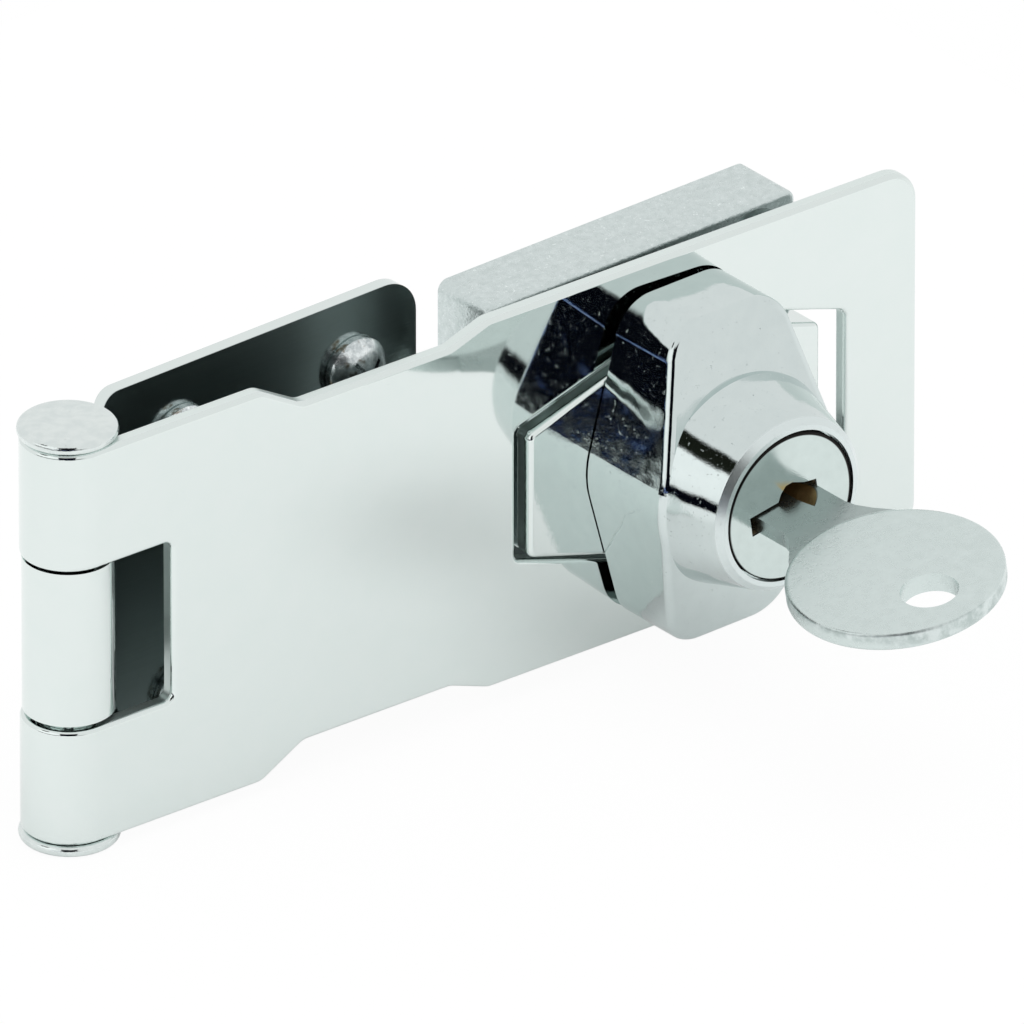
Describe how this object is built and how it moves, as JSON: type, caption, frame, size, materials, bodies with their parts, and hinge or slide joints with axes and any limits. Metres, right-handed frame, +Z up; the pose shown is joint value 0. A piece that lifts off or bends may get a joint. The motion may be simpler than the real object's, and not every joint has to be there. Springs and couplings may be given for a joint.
{
  "type": "keyed twist-knob hasp lock",
  "caption": "Hinged slotted hasp closed over a staple block by a keyed twist knob, with its key in the lock.",
  "frame": {"origin": "on the mounting plane, in the middle of the fixed leaf's four screws", "axes": "+X from the hinge to the hasp's free end, +Z up along the hinge pin, -Y out of the mounting surface towards the user"},
  "size_m": [0.1009, 0.0645, 0.0436],
  "materials": {
    "chrome_leaf": "bright chrome plate",
    "chrome_cast": "bright chrome plate on a zinc casting",
    "satin_cast": "satin plate on a zinc casting",
    "plain_steel": "zinc plated",
    "spring_steel": "bare spring steel",
    "core_brass": "satin nickel plate on brass",
    "wafer_brass": "bare brass",
    "key_steel": "dull nickel plate"
  },
  "bodies": {
    "fixed_leaf": {"fixed_leaf": "chrome_leaf", "hinge_pin": "chrome_leaf", "hinge_cap": "chrome_leaf", "leaf_screws": "chrome_leaf"},
    "hasp": {"hasp_leaf": "chrome_leaf", "staple_base": "satin_cast", "spindle_washer": "plain_steel", "spring_washer": "spring_steel"},
    "knob": {"twist_knob": "chrome_cast", "knob_spindle": "plain_steel", "spindle_screws": "plain_steel", "spindle_clip": "spring_steel"},
    "plug": {"lock_plug": "core_brass", "plug_clip": "spring_steel", "plug_cam": "plain_steel", "cam_screw": "plain_steel", "wafer_springs": "spring_steel"},
    "bolt": {"locking_bolt": "plain_steel"},
    "key": {"lock_key": "key_steel"},
    "wafers": {"wafer_1": "wafer_brass", "wafer_2": "wafer_brass", "wafer_3": "wafer_brass", "wafer_4": "wafer_brass", "wafer_5": "wafer_brass"}
  },
  "joints": [
    {"name": "hasp_swing", "type": "hinge", "parent": "fixed_leaf", "child": "hasp", "pos_m": [-0.02635, -0.0044, 0], "axis": [0, 0, -1], "range_deg": [0, 175]},
    {"name": "knob_turn", "type": "hinge", "parent": "hasp", "child": "knob", "pos_m": [0.04075, -0.01, 0], "axis": [0, 1, 0], "range_deg": [0, 90]},
    {"name": "key_turn", "type": "hinge", "parent": "knob", "child": "plug", "pos_m": [0.04075, -0.02, 0], "axis": [0, 1, 0], "range_deg": [0, 90]},
    {"name": "bolt_throw", "type": "slide", "parent": "knob", "child": "bolt", "axis": [0, 0, -1], "range_m": [0, 0.002]},
    {"name": "key_withdraw", "type": "slide", "parent": "plug", "child": "key", "axis": [0, -1, 0], "range_m": [0, 0.014]},
    {"name": "wafer_slide", "type": "slide", "parent": "plug", "child": "wafers", "axis": [0.9885, 0, 0.1513], "range_m": [0, 0.0008]}
  ],
  "couplings": [
    {"joint": "bolt_throw", "follows": "key_turn", "m_per_rad": 0.001273},
    {"joint": "wafer_slide", "follows": "key_withdraw", "ratio": 0.057142}
  ]
}
